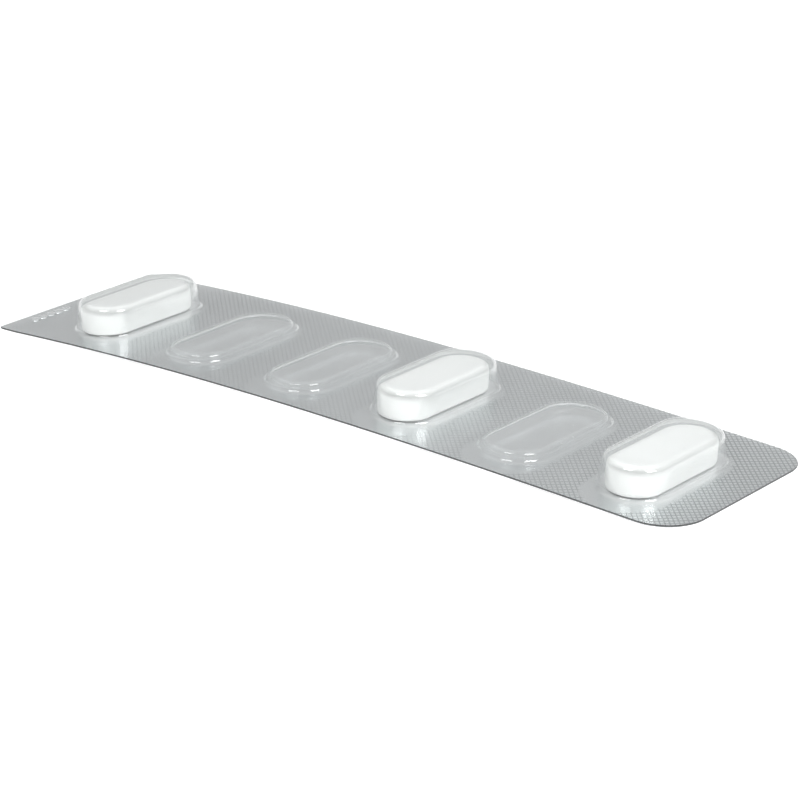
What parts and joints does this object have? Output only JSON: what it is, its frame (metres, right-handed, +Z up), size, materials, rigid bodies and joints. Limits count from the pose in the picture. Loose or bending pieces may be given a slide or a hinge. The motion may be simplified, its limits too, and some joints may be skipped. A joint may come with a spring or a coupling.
{
  "type": "tablet blister strip",
  "caption": "Slightly bowed clear-film and foil blister strip with a row of oblong pockets, some deep and holding tablets, the others shallow and empty.",
  "frame": {"origin": "middle of the strip's outline, on the surface that its two ends lie on", "axes": "+X along the row of pockets, from the wide end margin to the narrow one; +Y across the strip, away from the edge that the pockets stand nearer to; +Z up, the way the pockets bulge"},
  "size_m": [0.1352, 0.037, 0.007],
  "materials": {
    "lidding_foil": "soft aluminium foil, satin, embossed with a fine diamond knurl where it is sealed",
    "clear_film": "clear thermoformed film, glossy",
    "tablet": null
  },
  "bodies": {
    "root": {"lidding_foil": "lidding_foil", "formed_film": "clear_film", "tablet_1": "tablet", "tablet_4": "tablet", "tablet_6": "tablet"}
  },
  "joints": []
}
